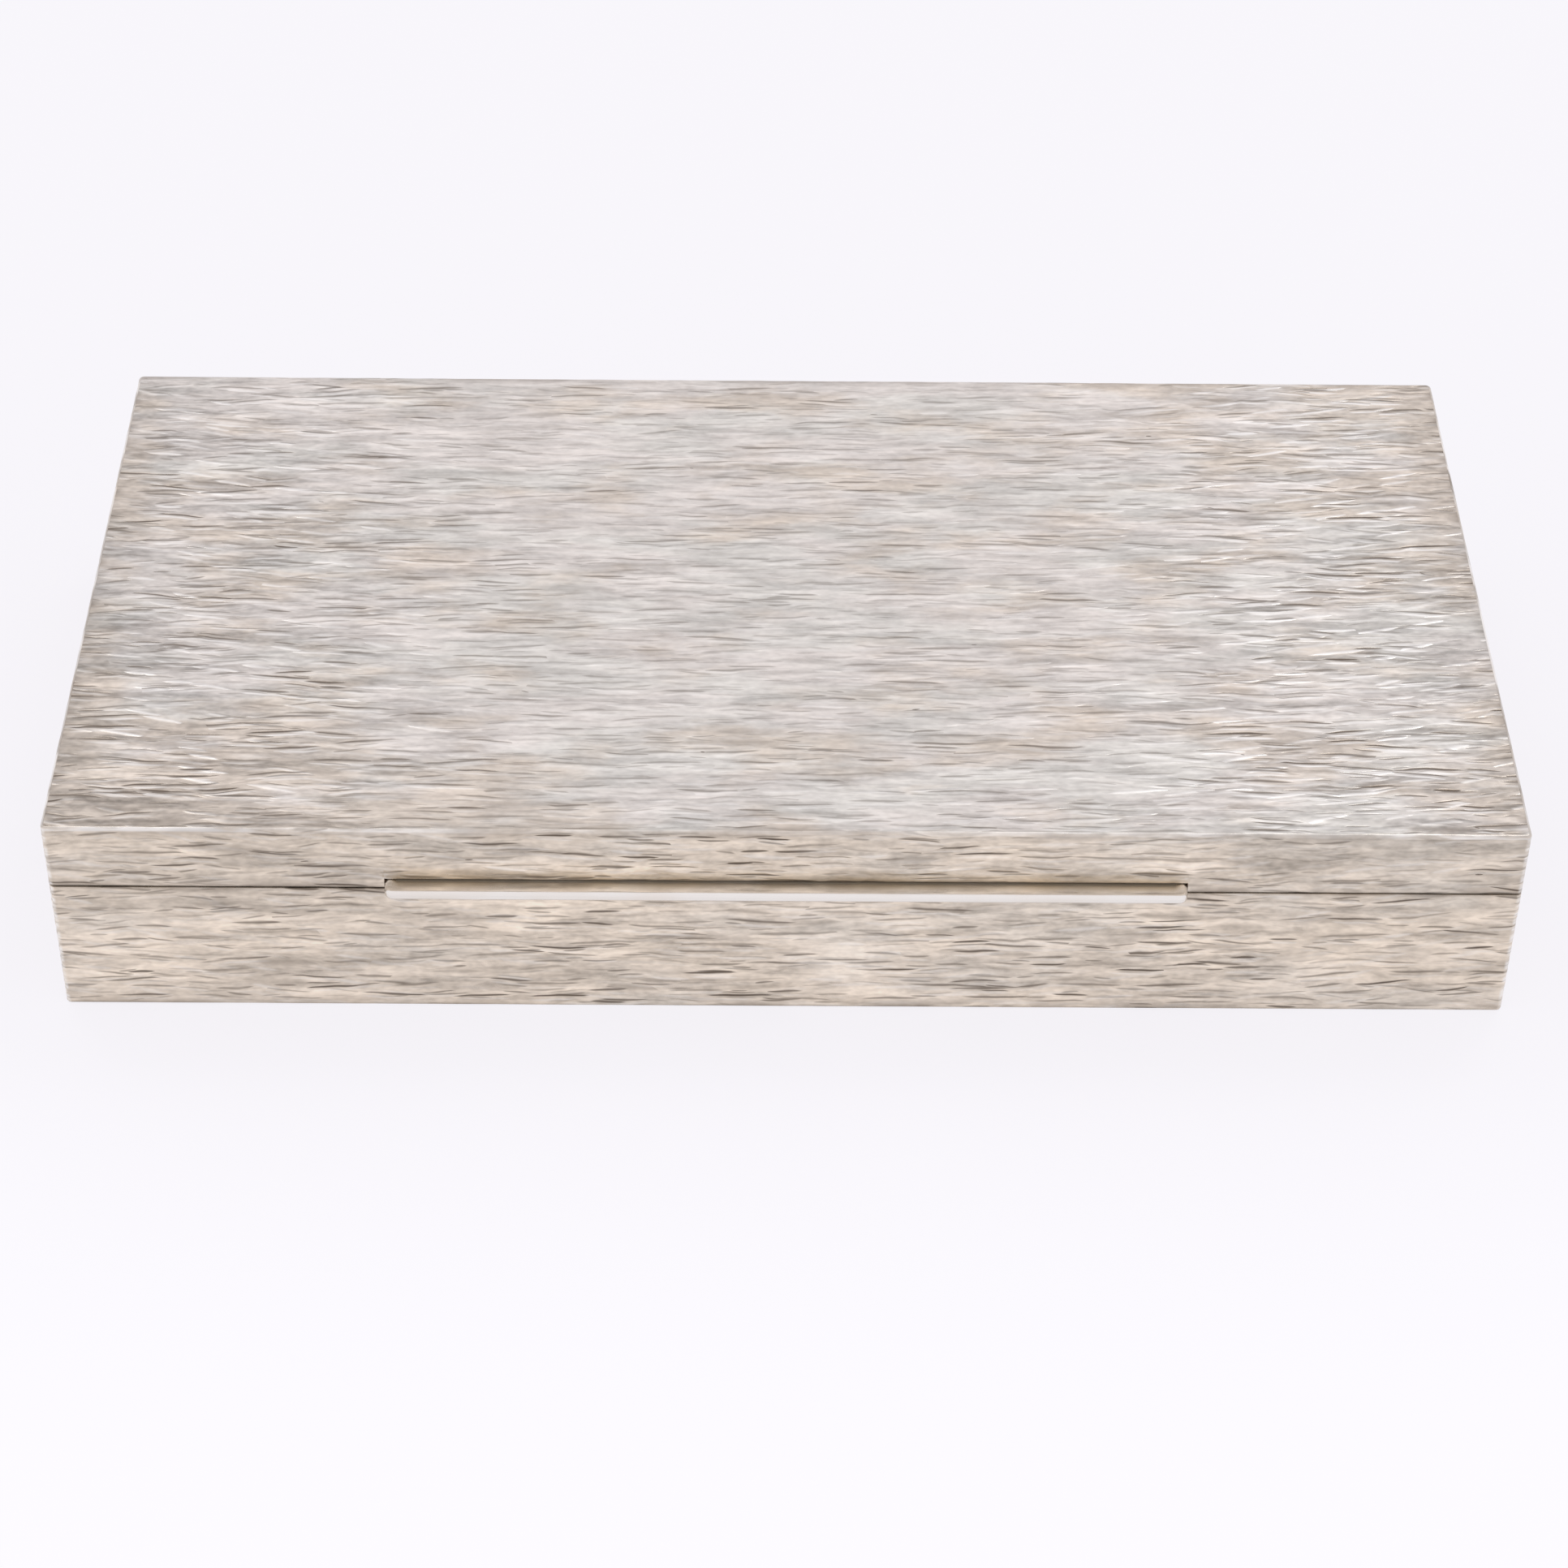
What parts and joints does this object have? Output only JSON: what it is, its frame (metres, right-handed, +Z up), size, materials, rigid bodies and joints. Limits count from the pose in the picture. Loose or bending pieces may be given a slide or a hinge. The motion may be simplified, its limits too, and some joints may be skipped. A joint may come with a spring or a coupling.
{
  "type": "cigar case",
  "caption": "Flat silver cigar case with a bark-textured skin, a cedar lining, a thumb bar on the lid's front edge and a full-width knuckle hinge along the back.",
  "frame": {"origin": "centre of the underside, on the plane that the case rests on", "axes": "+Z up, +X along the length to the right as seen from the front, -Y to the front, where the thumb bar is"},
  "size_m": [0.2, 0.1092, 0.0323],
  "materials": {
    "bark_silver": "hammered bark texture, warm tarnish in the grooves",
    "polished_silver": "polished silver",
    "drawn_wire": "drawn nickel silver wire",
    "cedar": "planed Spanish cedar, unvarnished"
  },
  "bodies": {
    "base": {"base_band": "bark_silver", "base_plate": "polished_silver", "base_hinge_bearer": "polished_silver", "base_knuckle_1": "polished_silver", "base_knuckle_2": "polished_silver", "base_knuckle_3": "polished_silver", "base_knuckle_4": "polished_silver", "base_knuckle_5": "polished_silver", "hinge_pin": "drawn_wire", "pin_plug_left": "polished_silver", "pin_plug_right": "polished_silver", "cedar_floor": "cedar", "cedar_front": "cedar", "cedar_back": "cedar", "cedar_left": "cedar", "cedar_right": "cedar"},
    "lid": {"lid_shell": "bark_silver", "thumb_bar": "polished_silver", "lid_hinge_bearer": "polished_silver", "lid_knuckle_1": "polished_silver", "lid_knuckle_2": "polished_silver", "lid_knuckle_3": "polished_silver", "lid_knuckle_4": "polished_silver", "lid_cedar_panel": "cedar"}
  },
  "joints": [
    {"name": "lid_hinge", "type": "hinge", "parent": "base", "child": "lid", "pos_m": [0, 0.05178, 0.02175], "axis": [-1, 0, 0], "range_deg": [0, 95]}
  ]
}
